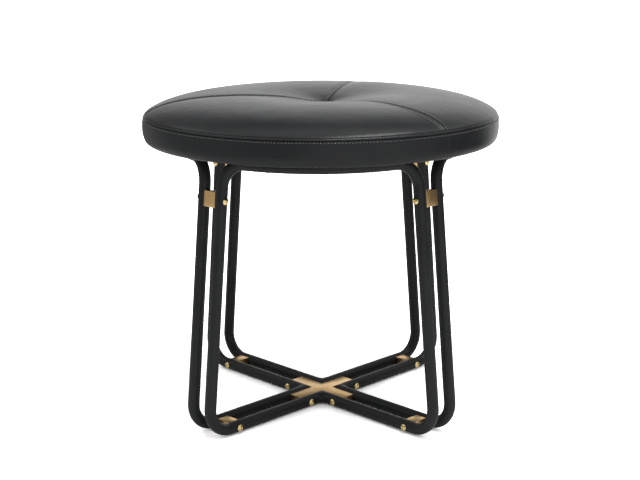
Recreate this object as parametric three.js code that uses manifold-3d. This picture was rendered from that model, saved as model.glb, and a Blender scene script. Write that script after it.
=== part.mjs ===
// A round upholstered stool on an X-shaped base. Millimetres, +Z up, floor at z = 0, the seat's axis on Z.
// Four closed loops of round steel tube stand back to back. Each has two bottom rails that meet in a mitred
// corner near the centre, two leaning legs, and an arc that carries the seat. Brass blocks, saddle-cut to the
// tubes, hold neighbouring loops side by side, and button-head socket screws pass through each tube into them.
import * as THREE from 'three';
import { mergeVertices } from 'three/addons/utils/BufferGeometryUtils.js';
import Module from 'manifold-3d';

const wasm = await Module();
wasm.setup();

// Steel loops
const tubeRadius = 8;
const pairSpacing = 35;
const bendRadius = 34;
const seatRailRadius = 193;
const railToRailHeight = 368;
const legLean = THREE.MathUtils.degToRad(5.7);
const cornerFillet = 9;
const glideDrop = 1.2;
const tubeSides = 12;
const bendSteps = 6;
const cornerSteps = 4;
const arcSteps = 5;
const loops = 4;
const fittingSteps = 12;

// Brass cross plate and blocks
const blockThickness = 12;
const footBlockLength = 17;
const legBlockLength = 21;
const crossPlateThickness = 10;
const blockEdgeBreak = 0.6;
const saddleSteps = 5;
const crossArmLength = 54;
const crossScrewInset = 7.2;
const footBlockSetback = 2.5;
const legBlockSetback = 6.5;
const seatGap = 0.3;

// Button-head screws through the tubes
const screwShankRadius = 2.5;
const screwHeadRadius = 4.75;
const screwHeadHeight = 2.75;
const screwHeadRim = 0.6;
const screwSocketRadius = 1.75;
const screwSocketDepth = 1.5;
const screwEndGap = 1;
const screwSides = 12;
const socketSides = 6;
const fitGap = 0.3;
const cutOverrun = 3;
const smallSides = 8;
const pocketSides = 12;
const roundSides = 48;
const domeSteps = 2;

// Screws that hold the seat board on the arcs, their heads let in flush from below
const seatScrewSpread = THREE.MathUtils.degToRad(20);
const seatScrewShankRadius = 2.5;
const seatScrewHeadRadius = 4.5;
const seatScrewHeadHeight = 3.2;
const seatScrewSocketRadius = 1.8;
const seatScrewSocketDepth = 1.8;
const seatScrewPocketDepth = 3.8;
const seatScrewBite = 11;

// Glides under the foot blocks
const glideRadius = 8;
const glideRim = 0.6;
const glideStemRadius = 2.2;
const glideStemLength = 2.4;
const glideSides = 12;

// Seat, from the underside up
const dustCoverThickness = 0.6;
const dustCoverLap = 15;
const hemRailClearance = 8;
const leatherThickness = 1.6;
const boardThickness = 15;
const boardOverhang = 44;
const sidePadding = 11.5;
const cushionWaist = 19;
const boxingHeight = 32.5;
const boxingUndercut = 6.5;
const rimSeamInset = 1.6;
const rimSeamGroove = 1.3;
const rimSeamHalfWidth = 1.4;
const crownRise = 32.4;
const dimpleDepth = 17.5;
const dimpleReach = 57;
const tuftOffset = 7.4;
const panelPuff = 1.2;
const seamChannelDepth = 1.2;
const seamChannelHalfWidth = 4;
const seamShoulderWidth = 10;
const seamAngles = [-49.4, 74.2, 189].map((degrees) => THREE.MathUtils.degToRad(degrees));
const paddingThickness = 4.6;
const coverGap = 1.2;
const tieRadius = 1.1;
const tieWasherRadius = 11;
const tieWasherThickness = 0.9;
const panelSteps = 6;
const boxingSteps = 4;
const crownFlatness = 4;
const crownFullness = 0.59;
const besideSeamShare = 0.2;
const shoulderShare = 0.4;

// Heights and the places that follow from them
const halfPair = pairSpacing / 2;
const railHeight = glideDrop + tubeRadius;
const seatRailHeight = railHeight + railToRailHeight;
const dustCoverBottom = seatRailHeight + tubeRadius + seatGap;
const hemBottom = dustCoverBottom + dustCoverThickness + seatGap;
const boardBottom = hemBottom + leatherThickness + seatGap;
const boardTop = boardBottom + boardThickness;
const rimSeamHeight = hemBottom + boxingHeight;
const hemInnerRadius = seatRailRadius + tubeRadius + hemRailClearance;
const dustCoverRadius = hemInnerRadius + dustCoverLap;
const boardRadius = seatRailRadius + boardOverhang;
const cushionRadius = boardRadius + sidePadding;
const rimSeamRadius = cushionRadius - rimSeamInset;

const X = new THREE.Vector3(1, 0, 0);
const Y = new THREE.Vector3(0, 1, 0);
const Z = new THREE.Vector3(0, 0, 1);

// Materials
const finishes = {
  steel: { color: '#2c2d2e', roughness: 0.5, metalness: 0.2 },
  brass: { color: '#c9a367', roughness: 0.35, metalness: 1 },
  polishedBrass: { color: '#d8ae5c', roughness: 0.15, metalness: 1 },
  zinc: { color: '#a9abad', roughness: 0.4, metalness: 1 },
  leather: { color: '#2b2c2d', roughness: 0.45, metalness: 0 },
  foam: { color: '#d9d2bd', roughness: 0.95, metalness: 0 },
  plywood: { color: '#b98f5c', roughness: 0.8, metalness: 0 },
  fabric: { color: '#1b1b1c', roughness: 0.95, metalness: 0 },
  nylon: { color: '#1f1f20', roughness: 0.6, metalness: 0 },
  twine: { color: '#cfc6ae', roughness: 0.9, metalness: 0 },
};

function piece(name, geometry, finish) {
  const mesh = new THREE.Mesh(geometry, new THREE.MeshStandardMaterial(finishes[finish]));
  mesh.name = name;
  return mesh;
}

// Solids: a closed geometry becomes a solid to cut or join, and comes back as a geometry
function toSolid(geometry) {
  const bare = geometry.clone();
  bare.deleteAttribute('normal');
  bare.deleteAttribute('uv');
  const merged = mergeVertices(bare);
  const vertProperties = new Float32Array(merged.attributes.position.array);
  const triVerts = new Uint32Array(merged.index.array);
  return new wasm.Manifold(new wasm.Mesh({ numProp: 3, vertProperties, triVerts }));
}

function toGeometry(solid) {
  const mesh = solid.getMesh();
  const geometry = new THREE.BufferGeometry();
  geometry.setAttribute('position', new THREE.BufferAttribute(new Float32Array(mesh.vertProperties), 3));
  geometry.setIndex(new THREE.BufferAttribute(new Uint32Array(mesh.triVerts), 1));
  geometry.computeVertexNormals();
  return geometry;
}

function cut(geometry, tools) {
  return toGeometry(tools.reduce((solid, tool) => solid.subtract(toSolid(tool)), toSolid(geometry)));
}

function join(geometries) {
  return toGeometry(geometries.map(toSolid).reduce((whole, solid) => whole.add(solid)));
}

// A cylinder whose axis starts at a point and runs a length along a direction
function rod(start, direction, radius, length, sides = smallSides) {
  const geometry = new THREE.CylinderGeometry(radius, radius, length, sides);
  geometry.applyQuaternion(new THREE.Quaternion().setFromUnitVectors(Y, direction));
  const middle = start.clone().addScaledVector(direction, length / 2);
  return geometry.translate(middle.x, middle.y, middle.z);
}

// A turned solid about Z: the profile's points are radius and height, from the axis round to the axis
function turned(points, sides = smallSides) {
  const profile = points.map(([radius, height]) => new THREE.Vector2(radius, height));
  return new THREE.LatheGeometry(profile, sides).rotateX(Math.PI / 2);
}

// Closed skin over rings that have the same number of points. A ring of one point closes an end to a fan
function skin(rings, closed = false) {
  const positions = [];
  const starts = [];
  for (const ring of rings) {
    starts.push(positions.length / 3);
    for (const point of ring) positions.push(point.x, point.y, point.z);
  }
  const index = [];
  const bands = closed ? rings.length : rings.length - 1;
  for (let band = 0; band < bands; band += 1) {
    const next = (band + 1) % rings.length;
    const count = Math.max(rings[band].length, rings[next].length);
    for (let side = 0; side < count; side += 1) {
      const after = (side + 1) % count;
      const a = starts[band] + (rings[band].length > 1 ? side : 0);
      const b = starts[band] + (rings[band].length > 1 ? after : 0);
      const c = starts[next] + (rings[next].length > 1 ? after : 0);
      const d = starts[next] + (rings[next].length > 1 ? side : 0);
      if (a !== b) index.push(a, b, c);
      if (c !== d) index.push(a, c, d);
    }
  }
  const geometry = new THREE.BufferGeometry();
  geometry.setAttribute('position', new THREE.Float32BufferAttribute(positions, 3));
  geometry.setIndex(index);
  return faceOutward(geometry);
}

function faceOutward(geometry) {
  const position = geometry.attributes.position;
  const index = geometry.index.array;
  const [a, b, c] = [new THREE.Vector3(), new THREE.Vector3(), new THREE.Vector3()];
  let volume = 0;
  for (let corner = 0; corner < index.length; corner += 3) {
    a.fromBufferAttribute(position, index[corner]);
    b.fromBufferAttribute(position, index[corner + 1]);
    c.fromBufferAttribute(position, index[corner + 2]);
    volume += a.dot(b.cross(c));
  }
  if (volume < 0) {
    for (let corner = 0; corner < index.length; corner += 3) {
      [index[corner + 1], index[corner + 2]] = [index[corner + 2], index[corner + 1]];
    }
  }
  geometry.computeVertexNormals();
  return geometry;
}

// The tube's centreline in one leg's own frame: x runs out along the base's diagonal, y across it towards
// the middle of the loop, z up. The leg leans in towards the seat's axis as it rises.
const legDirection = new THREE.Vector3(-Math.sin(legLean), 0, Math.cos(legLean));

function topBend(start) {
  const along = new THREE.Vector3(-Math.sin(start), Math.cos(start), 0);
  const turn = legDirection.angleTo(along);
  const end = new THREE.Vector3(Math.cos(start), Math.sin(start), 0).multiplyScalar(seatRailRadius);
  end.z = seatRailHeight;
  const reach = bendRadius * Math.tan(turn / 2);
  const foot = end.clone().addScaledVector(legDirection, -reach).addScaledVector(along, -reach);
  return { along, turn, foot };
}

// The arc starts where a bend of this radius brings the leg to half the pair's spacing from the diagonal
function arcStart() {
  let start = (halfPair + bendRadius) / seatRailRadius;
  for (let step = 0; step < fittingSteps; step += 1) {
    start += (halfPair - topBend(start).foot.y) / seatRailRadius;
  }
  return start;
}

const railStart = arcStart();
const bend = topBend(railStart);
const footRadius = bend.foot.x + Math.tan(legLean) * (bend.foot.z - railHeight);
const footReach = bendRadius * Math.tan(Math.PI / 4 + legLean / 2);
const footBendStart = footRadius - footReach;
const legTop = bend.foot.clone();

// Points along a leg, measured down from the foot of its top bend
function onLeg(distance) {
  return legTop.clone().addScaledVector(legDirection, -distance);
}

function ring(centre, up, across) {
  const points = [];
  for (let side = 0; side < tubeSides; side += 1) {
    const angle = (2 * Math.PI * side) / tubeSides;
    const point = centre.clone().addScaledVector(up, Math.cos(angle));
    points.push(point.addScaledVector(across, Math.sin(angle)));
  }
  return points;
}

// Mitred corner: sharp towards the cross plate, filleted on the open side
function cornerRings() {
  const inner = halfPair - tubeRadius;
  const outer = halfPair + tubeRadius;
  const filletCentre = outer + cornerFillet;
  const rings = [];
  for (let step = 0; step <= cornerSteps; step += 1) {
    const share = step / cornerSteps;
    const angle = (Math.PI / 4) * (1 + share);
    const open = new THREE.Vector3(
      filletCentre - cornerFillet * Math.cos(angle),
      filletCentre - cornerFillet * Math.sin(angle),
      railHeight,
    );
    const sharp = new THREE.Vector3(inner + share * (filletCentre - inner), inner, railHeight);
    const centre = open.clone().add(sharp).divideScalar(2);
    const across = open.clone().sub(sharp).divideScalar(2);
    rings.push(ring(centre, Z.clone().multiplyScalar(tubeRadius), across));
  }
  return rings;
}

function halfLoopRings() {
  const rings = cornerRings();
  let up = Z.clone().multiplyScalar(tubeRadius);
  let across = Y.clone().multiplyScalar(tubeRadius);
  const turnAbout = (pivot, from, axis, turn, steps, skipFirst) => {
    for (let step = skipFirst ? 1 : 0; step <= steps; step += 1) {
      const angle = (turn * step) / steps;
      const centre = from.clone().sub(pivot).applyAxisAngle(axis, angle).add(pivot);
      const turnedUp = up.clone().applyAxisAngle(axis, angle);
      rings.push(ring(centre, turnedUp, across.clone().applyAxisAngle(axis, angle)));
    }
    up = up.clone().applyAxisAngle(axis, turn);
    across = across.clone().applyAxisAngle(axis, turn);
    return from.clone().sub(pivot).applyAxisAngle(axis, turn).add(pivot);
  };
  const footStart = new THREE.Vector3(footBendStart, halfPair, railHeight);
  const footPivot = footStart.clone().addScaledVector(Z, bendRadius);
  turnAbout(footPivot, footStart, Y.clone().negate(), Math.PI / 2 + legLean, bendSteps, false);
  const axis = legDirection.clone().cross(bend.along).normalize();
  const topPivot = legTop.clone().addScaledVector(axis.clone().cross(legDirection), bendRadius);
  const arcFoot = turnAbout(topPivot, legTop, axis, bend.turn, bendSteps, false);
  turnAbout(new THREE.Vector3(0, 0, seatRailHeight), arcFoot, Z, Math.PI / 4 - railStart, arcSteps, true);
  return rings;
}

// In the loop's frame x points out through the middle of the loop; its first leg is 45 degrees clockwise
function legToLoop(point) {
  return point.clone().applyAxisAngle(Z, -Math.PI / 4);
}

function mirrored(point) {
  return new THREE.Vector3(point.x, -point.y, point.z);
}

function loopBody() {
  const half = halfLoopRings().map((points) => points.map(legToLoop));
  const other = half.slice(1, -1).reverse().map((points) => points.map(mirrored));
  return skin([...half, ...other], true);
}

// Where a leg's three screws cross the tube, in the leg's frame
const crossScrew = new THREE.Vector3(crossArmLength - crossScrewInset, 0, railHeight);
const footBlockReach = footBendStart - footBlockSetback - footBlockLength / 2;
const footBlockCentre = new THREE.Vector3(footBlockReach, 0, railHeight);
const legBlockCentre = onLeg(legBlockSetback + legBlockLength / 2).setY(0);
const screwPlaces = { cross_plate: crossScrew, foot_block: footBlockCentre, leg_block: legBlockCentre };
const screwSeat = halfPair + tubeRadius + seatGap;

function screwHoles() {
  return Object.values(screwPlaces).map((place) => {
    const start = place.clone().addScaledVector(Y, halfPair - tubeRadius - cutOverrun);
    return rod(start, Y, screwShankRadius + fitGap, 2 * (tubeRadius + cutOverrun));
  });
}

function seatScrewHoles() {
  const below = new THREE.Vector3(seatRailRadius, 0, seatRailHeight - tubeRadius - cutOverrun);
  const pocketRadius = seatScrewHeadRadius + fitGap;
  const pocket = rod(below, Z, pocketRadius, cutOverrun + seatScrewPocketDepth, pocketSides);
  const through = rod(below, Z, seatScrewShankRadius + fitGap, 2 * (tubeRadius + cutOverrun));
  return [pocket, through];
}

function loopGeometry() {
  const tools = [];
  for (const hole of screwHoles()) {
    hole.rotateZ(-Math.PI / 4);
    tools.push(hole, mirroredTool(hole));
  }
  for (const angle of [-seatScrewSpread, seatScrewSpread]) {
    for (const hole of seatScrewHoles()) tools.push(hole.rotateZ(angle));
  }
  return cut(loopBody(), tools);
}

// A round tool is the same on both sides of the loop, so its mirror image is a copy with its faces turned
function mirroredTool(tool) {
  const copy = tool.clone().scale(1, -1, 1);
  return faceOutward(copy);
}

// A brass bar that fills the space between two tubes: its sides are hollowed to their round
function saddleBar(length, thickness) {
  const halfHeight = thickness / 2;
  const hollow = tubeRadius + fitGap;
  const low = Math.asin((halfHeight - blockEdgeBreak) / hollow);
  const topHalfWidth = halfPair - Math.sqrt(hollow ** 2 - halfHeight ** 2) - blockEdgeBreak;
  const outline = new THREE.Shape();
  outline.moveTo(topHalfWidth, -halfHeight);
  for (let step = 0; step <= saddleSteps; step += 1) {
    const angle = -low + (2 * low * step) / saddleSteps;
    outline.lineTo(halfPair - hollow * Math.cos(angle), hollow * Math.sin(angle));
  }
  outline.lineTo(topHalfWidth, halfHeight);
  outline.lineTo(-topHalfWidth, halfHeight);
  for (let step = 0; step <= saddleSteps; step += 1) {
    const angle = low - (2 * low * step) / saddleSteps;
    outline.lineTo(hollow * Math.cos(angle) - halfPair, hollow * Math.sin(angle));
  }
  outline.lineTo(-topHalfWidth, -halfHeight);
  const bar = new THREE.ExtrudeGeometry(outline, { depth: length, bevelEnabled: false, steps: 1 });
  return bar.translate(0, 0, -length / 2).applyMatrix4(new THREE.Matrix4().makeBasis(Y, Z, X));
}

// The hole that a pair of screws shares, across a bar at a place along it
function barHole(place) {
  const start = new THREE.Vector3(place, -halfPair, 0);
  return rod(start, Y, screwShankRadius + fitGap, pairSpacing);
}

function crossPlate() {
  const inset = crossArmLength - crossScrewInset;
  const arm = cut(saddleBar(2 * crossArmLength, crossPlateThickness), [barHole(inset), barHole(-inset)]);
  return join([arm, arm.clone().rotateZ(Math.PI / 2)]);
}

function legBlock() {
  return cut(saddleBar(legBlockLength, blockThickness), [barHole(0)]);
}

function footBlock() {
  const below = new THREE.Vector3(0, 0, -blockThickness / 2 - cutOverrun);
  const stemHole = rod(below, Z, glideStemRadius + fitGap, cutOverrun + glideStemLength + fitGap);
  return cut(saddleBar(footBlockLength, blockThickness), [barHole(0), stemHole]);
}

// A button-head screw along +Z with a hexagonal socket, its head resting on z = 0
function buttonHeadScrew() {
  const length = screwSeat - screwEndGap;
  const dome = [];
  for (let step = 0; step < domeSteps; step += 1) {
    const angle = (Math.PI / 2) * (step / domeSteps);
    const rise = screwHeadHeight - screwHeadRim;
    dome.push([screwHeadRadius * Math.cos(angle), screwHeadRim + rise * Math.sin(angle)]);
  }
  const points = [[0, -length], [screwShankRadius, -length], [screwShankRadius, 0], [screwHeadRadius, 0]];
  const body = turned([...points, ...dome, [0, screwHeadHeight]], screwSides);
  const socketStart = new THREE.Vector3(0, 0, screwHeadHeight - screwSocketDepth);
  return cut(body, [rod(socketStart, Z, screwSocketRadius, cutOverrun + screwSocketDepth, socketSides)]);
}

// Copies of a solid at the eight places where the arcs are screwed to the board
function atSeatScrews(geometry) {
  const copies = [];
  for (let loop = 0; loop < loops; loop += 1) {
    for (const angle of [-seatScrewSpread, seatScrewSpread]) {
      const copy = geometry.clone().translate(seatRailRadius, 0, 0);
      copies.push(copy.rotateZ((loop * 2 * Math.PI) / loops + angle));
    }
  }
  return copies;
}

const seatScrewSeat = seatRailHeight - tubeRadius + seatScrewPocketDepth - seatGap;
const seatScrewTip = boardBottom + seatScrewBite;

function seatScrew() {
  const under = seatScrewSeat - seatScrewHeadHeight;
  const body = turned([
    [0, under],
    [seatScrewHeadRadius, under],
    [seatScrewHeadRadius, seatScrewSeat],
    [seatScrewShankRadius, seatScrewSeat],
    [seatScrewShankRadius, seatScrewTip],
    [0, seatScrewTip],
  ]);
  const socketStart = new THREE.Vector3(0, 0, under - cutOverrun);
  const socketLength = cutOverrun + seatScrewSocketDepth;
  return cut(body, [rod(socketStart, Z, seatScrewSocketRadius, socketLength, socketSides)]);
}

function dustCover() {
  const start = new THREE.Vector3(0, 0, dustCoverBottom);
  const disc = rod(start, Z, dustCoverRadius, dustCoverThickness, roundSides);
  const below = new THREE.Vector3(0, 0, dustCoverBottom - cutOverrun);
  const hole = rod(below, Z, seatScrewShankRadius + fitGap, dustCoverThickness + 2 * cutOverrun);
  return cut(disc, atSeatScrews(hole));
}

function glide() {
  const top = railHeight - blockThickness / 2 - seatGap;
  return turned(
    [
      [0, 0],
      [glideRadius - glideRim, 0],
      [glideRadius, glideRim],
      [glideRadius, top],
      [glideStemRadius, top],
      [glideStemRadius, top + glideStemLength],
      [0, top + glideStemLength],
    ],
    glideSides,
  );
}

// The tuft that draws the crown down, a little off the middle, and the seams, straight from it to the rim
const tuft = new THREE.Vector3(tuftOffset, 0, 0);
const seamLines = seamAngles.map((angle) => new THREE.Line3(tuft, X.clone().applyAxisAngle(Z, angle)));
for (const line of seamLines) line.end.multiplyScalar(rimSeamRadius);

// A place on the crown in plan. The rings are round at the rim and centred on the tuft in the middle
function crownPlace(radius, angle) {
  const share = Math.max(0, 1 - radius / rimSeamRadius);
  return X.clone().applyAxisAngle(Z, angle).multiplyScalar(radius).addScaledVector(tuft, share);
}

// Height of the leather's crown at a place, before the panels' own puff and the seams' channels
function crownHeight(place) {
  const share = Math.min(1, place.length() / rimSeamRadius);
  const dome = crownRise * (1 - share ** crownFlatness) ** crownFullness;
  const dimple = dimpleDepth * Math.exp(-place.distanceTo(tuft) / dimpleReach) * (dome / crownRise);
  return rimSeamHeight + dome - dimple;
}

// How far a place lies below the panel's full height, beside the nearest seam and in its channel
function seamDrop(place) {
  const nearest = new THREE.Vector3();
  const sides = seamLines.map((line) => line.closestPointToPoint(place, true, nearest).distanceTo(place));
  const side = Math.min(...sides);
  const edge = Math.max(0, 1 - (place.length() / rimSeamRadius) ** crownFlatness);
  const slack = panelPuff * (1 - Math.sin((Math.PI / 2) * Math.min(1, side / dimpleReach)));
  const channel = seamChannelDepth * Math.max(0, 1 - side / seamShoulderWidth) ** 2;
  return edge * (slack + channel);
}

// Columns of the cover at one radius: close together beside each radial seam, even across each panel
function columnAngles(radius) {
  return seamAngles.flatMap((seam, panel) => {
    const next = panel + 1 < seamAngles.length ? seamAngles[panel + 1] : seamAngles[0] + 2 * Math.PI;
    const halfPanel = (next - seam) / 2;
    const beside = Math.min(seamChannelHalfWidth / radius, besideSeamShare * halfPanel);
    const shoulder = Math.min(seamShoulderWidth / radius, shoulderShare * halfPanel);
    const half = [0, beside];
    for (let step = 0; step <= panelSteps; step += 1) {
      half.push(shoulder + ((halfPanel - shoulder) * step) / panelSteps);
    }
    const rest = half.slice(1, -1).reverse().map((offset) => 2 * halfPanel - offset);
    return [...half, ...rest].map((offset) => seam + offset);
  });
}

function coverRing(radius, height) {
  const angles = columnAngles(radius);
  return angles.map((angle) => {
    return new THREE.Vector3(radius * Math.cos(angle), radius * Math.sin(angle), height);
  });
}

// A point of the crown, or of a lining at a depth below it
function crownPoint(place, depth = 0) {
  return place.clone().setZ(crownHeight(place) - (depth || seamDrop(place)));
}

function crownRing(radius, depth = 0) {
  const angles = columnAngles(Math.max(radius, seamShoulderWidth));
  return angles.map((angle) => crownPoint(crownPlace(radius, angle), depth));
}

// Side of the cushion from the rim seam down to its rounded lower edge, drawn in below the waist
function boxingProfile() {
  const waistHeight = hemBottom + cushionWaist;
  const points = [];
  for (let step = 0; step <= boxingSteps; step += 1) {
    const angle = (Math.PI / 2) * (step / boxingSteps);
    const radius = cushionRadius - boxingUndercut * (1 - Math.cos(angle));
    points.push([radius, waistHeight - cushionWaist * Math.sin(angle)]);
  }
  return points;
}

// The sewn cover: crown with its dimple, three radial channels and panels, the rim seam's groove, the
// boxing, and the hem turned in under the board. Its inner face leaves room for the foam.
const crownShares = [0.05, 0.12, 0.22, 0.36, 0.53, 0.69, 0.83, 0.925, 0.975];
const liningShares = [0.98, 0.83, 0.53, 0.22];
const liningRadius = cushionRadius - leatherThickness;

function leatherCover() {
  const rings = [[crownPoint(tuft)]];
  for (const share of crownShares) rings.push(crownRing(share * rimSeamRadius));
  rings.push(coverRing(rimSeamRadius, rimSeamHeight + rimSeamHalfWidth));
  rings.push(coverRing(rimSeamRadius - rimSeamGroove, rimSeamHeight));
  rings.push(coverRing(rimSeamRadius + rimSeamInset / 2, rimSeamHeight - rimSeamHalfWidth));
  for (const [radius, height] of boxingProfile()) rings.push(coverRing(radius, height));
  const hemTop = hemBottom + leatherThickness;
  const shoulder = rimSeamRadius - rimSeamGroove - leatherThickness;
  rings.push(coverRing(hemInnerRadius, hemBottom));
  rings.push(coverRing(hemInnerRadius, hemTop));
  rings.push(coverRing(boardRadius + leatherThickness, hemTop));
  rings.push(coverRing(liningRadius - rimSeamInset, hemBottom + cushionWaist));
  rings.push(coverRing(shoulder, rimSeamHeight - leatherThickness));
  for (const share of liningShares) rings.push(crownRing(share * shoulder, paddingThickness));
  rings.push([crownPoint(tuft, paddingThickness)]);
  return skin(rings);
}

// Plywood disc, with blind holes for the seat screws and one for the tie
function board() {
  const plate = skin([
    [new THREE.Vector3(0, 0, boardBottom)],
    coverRing(boardRadius, boardBottom),
    coverRing(boardRadius, boardTop),
    [new THREE.Vector3(0, 0, boardTop)],
  ]);
  const below = new THREE.Vector3(0, 0, boardBottom - cutOverrun);
  const pilotLength = cutOverrun + seatScrewBite + fitGap;
  const pilot = rod(below, Z, seatScrewShankRadius + fitGap, pilotLength);
  const tieHole = rod(below.clone().add(tuft), Z, tieRadius + fitGap, boardThickness + 2 * cutOverrun);
  return cut(plate, [...atSeatScrews(pilot), tieHole]);
}

// Foam on the board, wrapped over its edge and filling the cover
function foamPad() {
  const recess = boardRadius + coverGap;
  const edge = liningRadius - rimSeamInset - coverGap;
  const shoulder = rimSeamRadius - rimSeamGroove - leatherThickness - coverGap;
  const rings = [
    [new THREE.Vector3(0, 0, boardTop + seatGap)],
    coverRing(recess, boardTop + seatGap),
    coverRing(recess, hemBottom + cushionWaist / 2),
    coverRing(edge, hemBottom + cushionWaist),
    coverRing(shoulder, rimSeamHeight - leatherThickness - coverGap),
  ];
  for (const share of liningShares) rings.push(crownRing(share * shoulder, paddingThickness + coverGap));
  rings.push([crownPoint(tuft, paddingThickness + coverGap)]);
  const start = tuft.clone().setZ(boardTop - cutOverrun);
  return cut(skin(rings), [rod(start, Z, tieRadius + fitGap, crownRise + cutOverrun)]);
}

// The hidden tie that draws the middle of the crown down, with its washer under the board
function tuftTie() {
  const bottom = boardBottom - seatGap - tieWasherThickness;
  const top = crownHeight(tuft) - paddingThickness - seatGap;
  const start = tuft.clone().setZ(bottom);
  const cord = rod(start, Z, tieRadius, top - bottom);
  const washer = rod(start, Z, tieWasherRadius, tieWasherThickness, pocketSides);
  return join([cord, washer]);
}

// Assembly
const stool = new THREE.Group();

const loopShape = loopGeometry();
['right', 'back', 'left', 'front'].forEach((side, quarter) => {
  const loop = piece(`tube_loop_${side}`, loopShape, 'steel');
  loop.rotation.z = (quarter * Math.PI) / 2;
  stool.add(loop);
});

const plate = piece('cross_plate', crossPlate(), 'brass');
plate.position.z = railHeight;
plate.rotation.z = Math.PI / 4;
stool.add(plate);

const footBlockShape = footBlock();
const legBlockShape = legBlock();
const glideShape = glide();
const screwShape = buttonHeadScrew();
['back_right', 'back_left', 'front_left', 'front_right'].forEach((corner, quarter) => {
  const leg = new THREE.Group();
  leg.rotation.z = Math.PI / 4 + (quarter * Math.PI) / 2;
  const low = piece(`foot_block_${corner}`, footBlockShape, 'brass');
  low.position.copy(footBlockCentre);
  const high = piece(`leg_block_${corner}`, legBlockShape, 'brass');
  high.position.copy(legBlockCentre);
  high.rotation.y = -(Math.PI / 2 + legLean);
  const pad = piece(`glide_${corner}`, glideShape, 'nylon');
  pad.position.x = footBlockCentre.x;
  leg.add(low, high, pad);
  for (const [joint, place] of Object.entries(screwPlaces)) {
    [1, -1].forEach((side, which) => {
      const screw = piece(`${joint}_screw_${corner}_${which + 1}`, screwShape, 'polishedBrass');
      screw.position.set(place.x, side * screwSeat, place.z);
      screw.rotation.x = (-side * Math.PI) / 2;
      leg.add(screw);
    });
  }
  stool.add(leg);
});

const seatScrewShapes = atSeatScrews(seatScrew());
seatScrewShapes.forEach((shape, place) => {
  stool.add(piece(`seat_screw_${place + 1}`, shape, 'zinc'));
});

stool.add(piece('seat_board', board(), 'plywood'));
stool.add(piece('dust_cover', dustCover(), 'fabric'));
stool.add(piece('foam_pad', foamPad(), 'foam'));
stool.add(piece('tuft_tie', tuftTie(), 'twine'));
stool.add(piece('leather_cover', leatherCover(), 'leather'));

export default stool;
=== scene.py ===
"""A round leather stool on an X-shaped base of steel tube loops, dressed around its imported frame.
Metres, +Z up."""
import bisect
from math import asin, atan2, cos, exp, pi, radians, sin, sqrt, tan

import bmesh
import bpy
from mathutils import Matrix, Quaternion, Vector


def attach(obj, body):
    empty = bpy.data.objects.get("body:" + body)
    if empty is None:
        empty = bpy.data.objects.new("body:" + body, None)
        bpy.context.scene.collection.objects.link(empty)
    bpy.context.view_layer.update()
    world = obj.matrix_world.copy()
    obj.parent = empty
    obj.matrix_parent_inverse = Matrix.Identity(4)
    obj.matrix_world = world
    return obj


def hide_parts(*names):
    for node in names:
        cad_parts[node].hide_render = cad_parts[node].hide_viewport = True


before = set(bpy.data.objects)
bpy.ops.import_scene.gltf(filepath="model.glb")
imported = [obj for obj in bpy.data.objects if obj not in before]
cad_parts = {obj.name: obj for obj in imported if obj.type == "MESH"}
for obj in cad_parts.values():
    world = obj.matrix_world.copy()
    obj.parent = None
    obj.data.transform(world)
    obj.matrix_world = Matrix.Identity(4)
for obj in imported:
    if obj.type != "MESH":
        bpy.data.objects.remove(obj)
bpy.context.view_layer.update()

MM = 0.001
Y_AXIS = Vector((0, 1, 0))
Z_AXIS = Vector((0, 0, 1))
CORNERS = ("back_right", "back_left", "front_left", "front_right")
SIDES = ("right", "back", "left", "front")

# Steel loops
TUBE_RADIUS = 8 * MM
HALF_PAIR = 17.5 * MM
BEND_RADIUS = 34 * MM
SEAT_RAIL_RADIUS = 193 * MM
GLIDE_DROP = 1.2 * MM
RAIL_HEIGHT = GLIDE_DROP + TUBE_RADIUS
SEAT_RAIL_HEIGHT = RAIL_HEIGHT + 368 * MM
LEG_LEAN = radians(5.7)
CORNER_FILLET = 9 * MM
FILLET_STEPS = 8
BEND_STEPS = 24
ARC_STEPS = 18

# Brass blocks and the screws through the tubes
BLOCK_THICKNESS = 12 * MM
FOOT_BLOCK_LENGTH = 17 * MM
LEG_BLOCK_LENGTH = 21 * MM
CROSS_PLATE_THICKNESS = 10 * MM
BLOCK_LEDGE = 0.6 * MM
BLOCK_EDGE = 0.45 * MM
CROSS_ARM = 54 * MM
CROSS_SCREW = CROSS_ARM - 7.2 * MM
FOOT_BLOCK_SETBACK = 2.5 * MM
LEG_BLOCK_SETBACK = 6.5 * MM
SADDLE_STEPS = 10
FIT_GAP = 0.3 * MM
SCREW_SEAT = HALF_PAIR + TUBE_RADIUS + FIT_GAP
SCREW_END_GAP = 1 * MM
SCREW_SHANK = 2.5 * MM
SCREW_HEAD = 4.75 * MM
SCREW_HEAD_HEIGHT = 2.75 * MM
SCREW_HEAD_RIM = 0.6 * MM
SCREW_SOCKET = 1.75 * MM
SCREW_SOCKET_DEPTH = 1.5 * MM
KEY_TURN = radians(37)

# Screws up into the seat board
SEAT_SCREW_SPREAD = radians(20)
SEAT_SCREW_SHANK = 2.5 * MM
SEAT_SCREW_HEAD = 4.5 * MM
SEAT_SCREW_HEAD_HEIGHT = 3.2 * MM
SEAT_SCREW_SOCKET = 1.8 * MM
SEAT_SCREW_SOCKET_DEPTH = 1.8 * MM
SEAT_SCREW_POCKET = 3.8 * MM
SEAT_SCREW_BITE = 11 * MM
SEAT_SCREW_POINT = 3 * MM

# Glides
GLIDE_RADIUS = 8 * MM
GLIDE_RIM = 0.6 * MM
GLIDE_STEM = 2.2 * MM
GLIDE_STEM_LENGTH = 2.4 * MM

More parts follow.
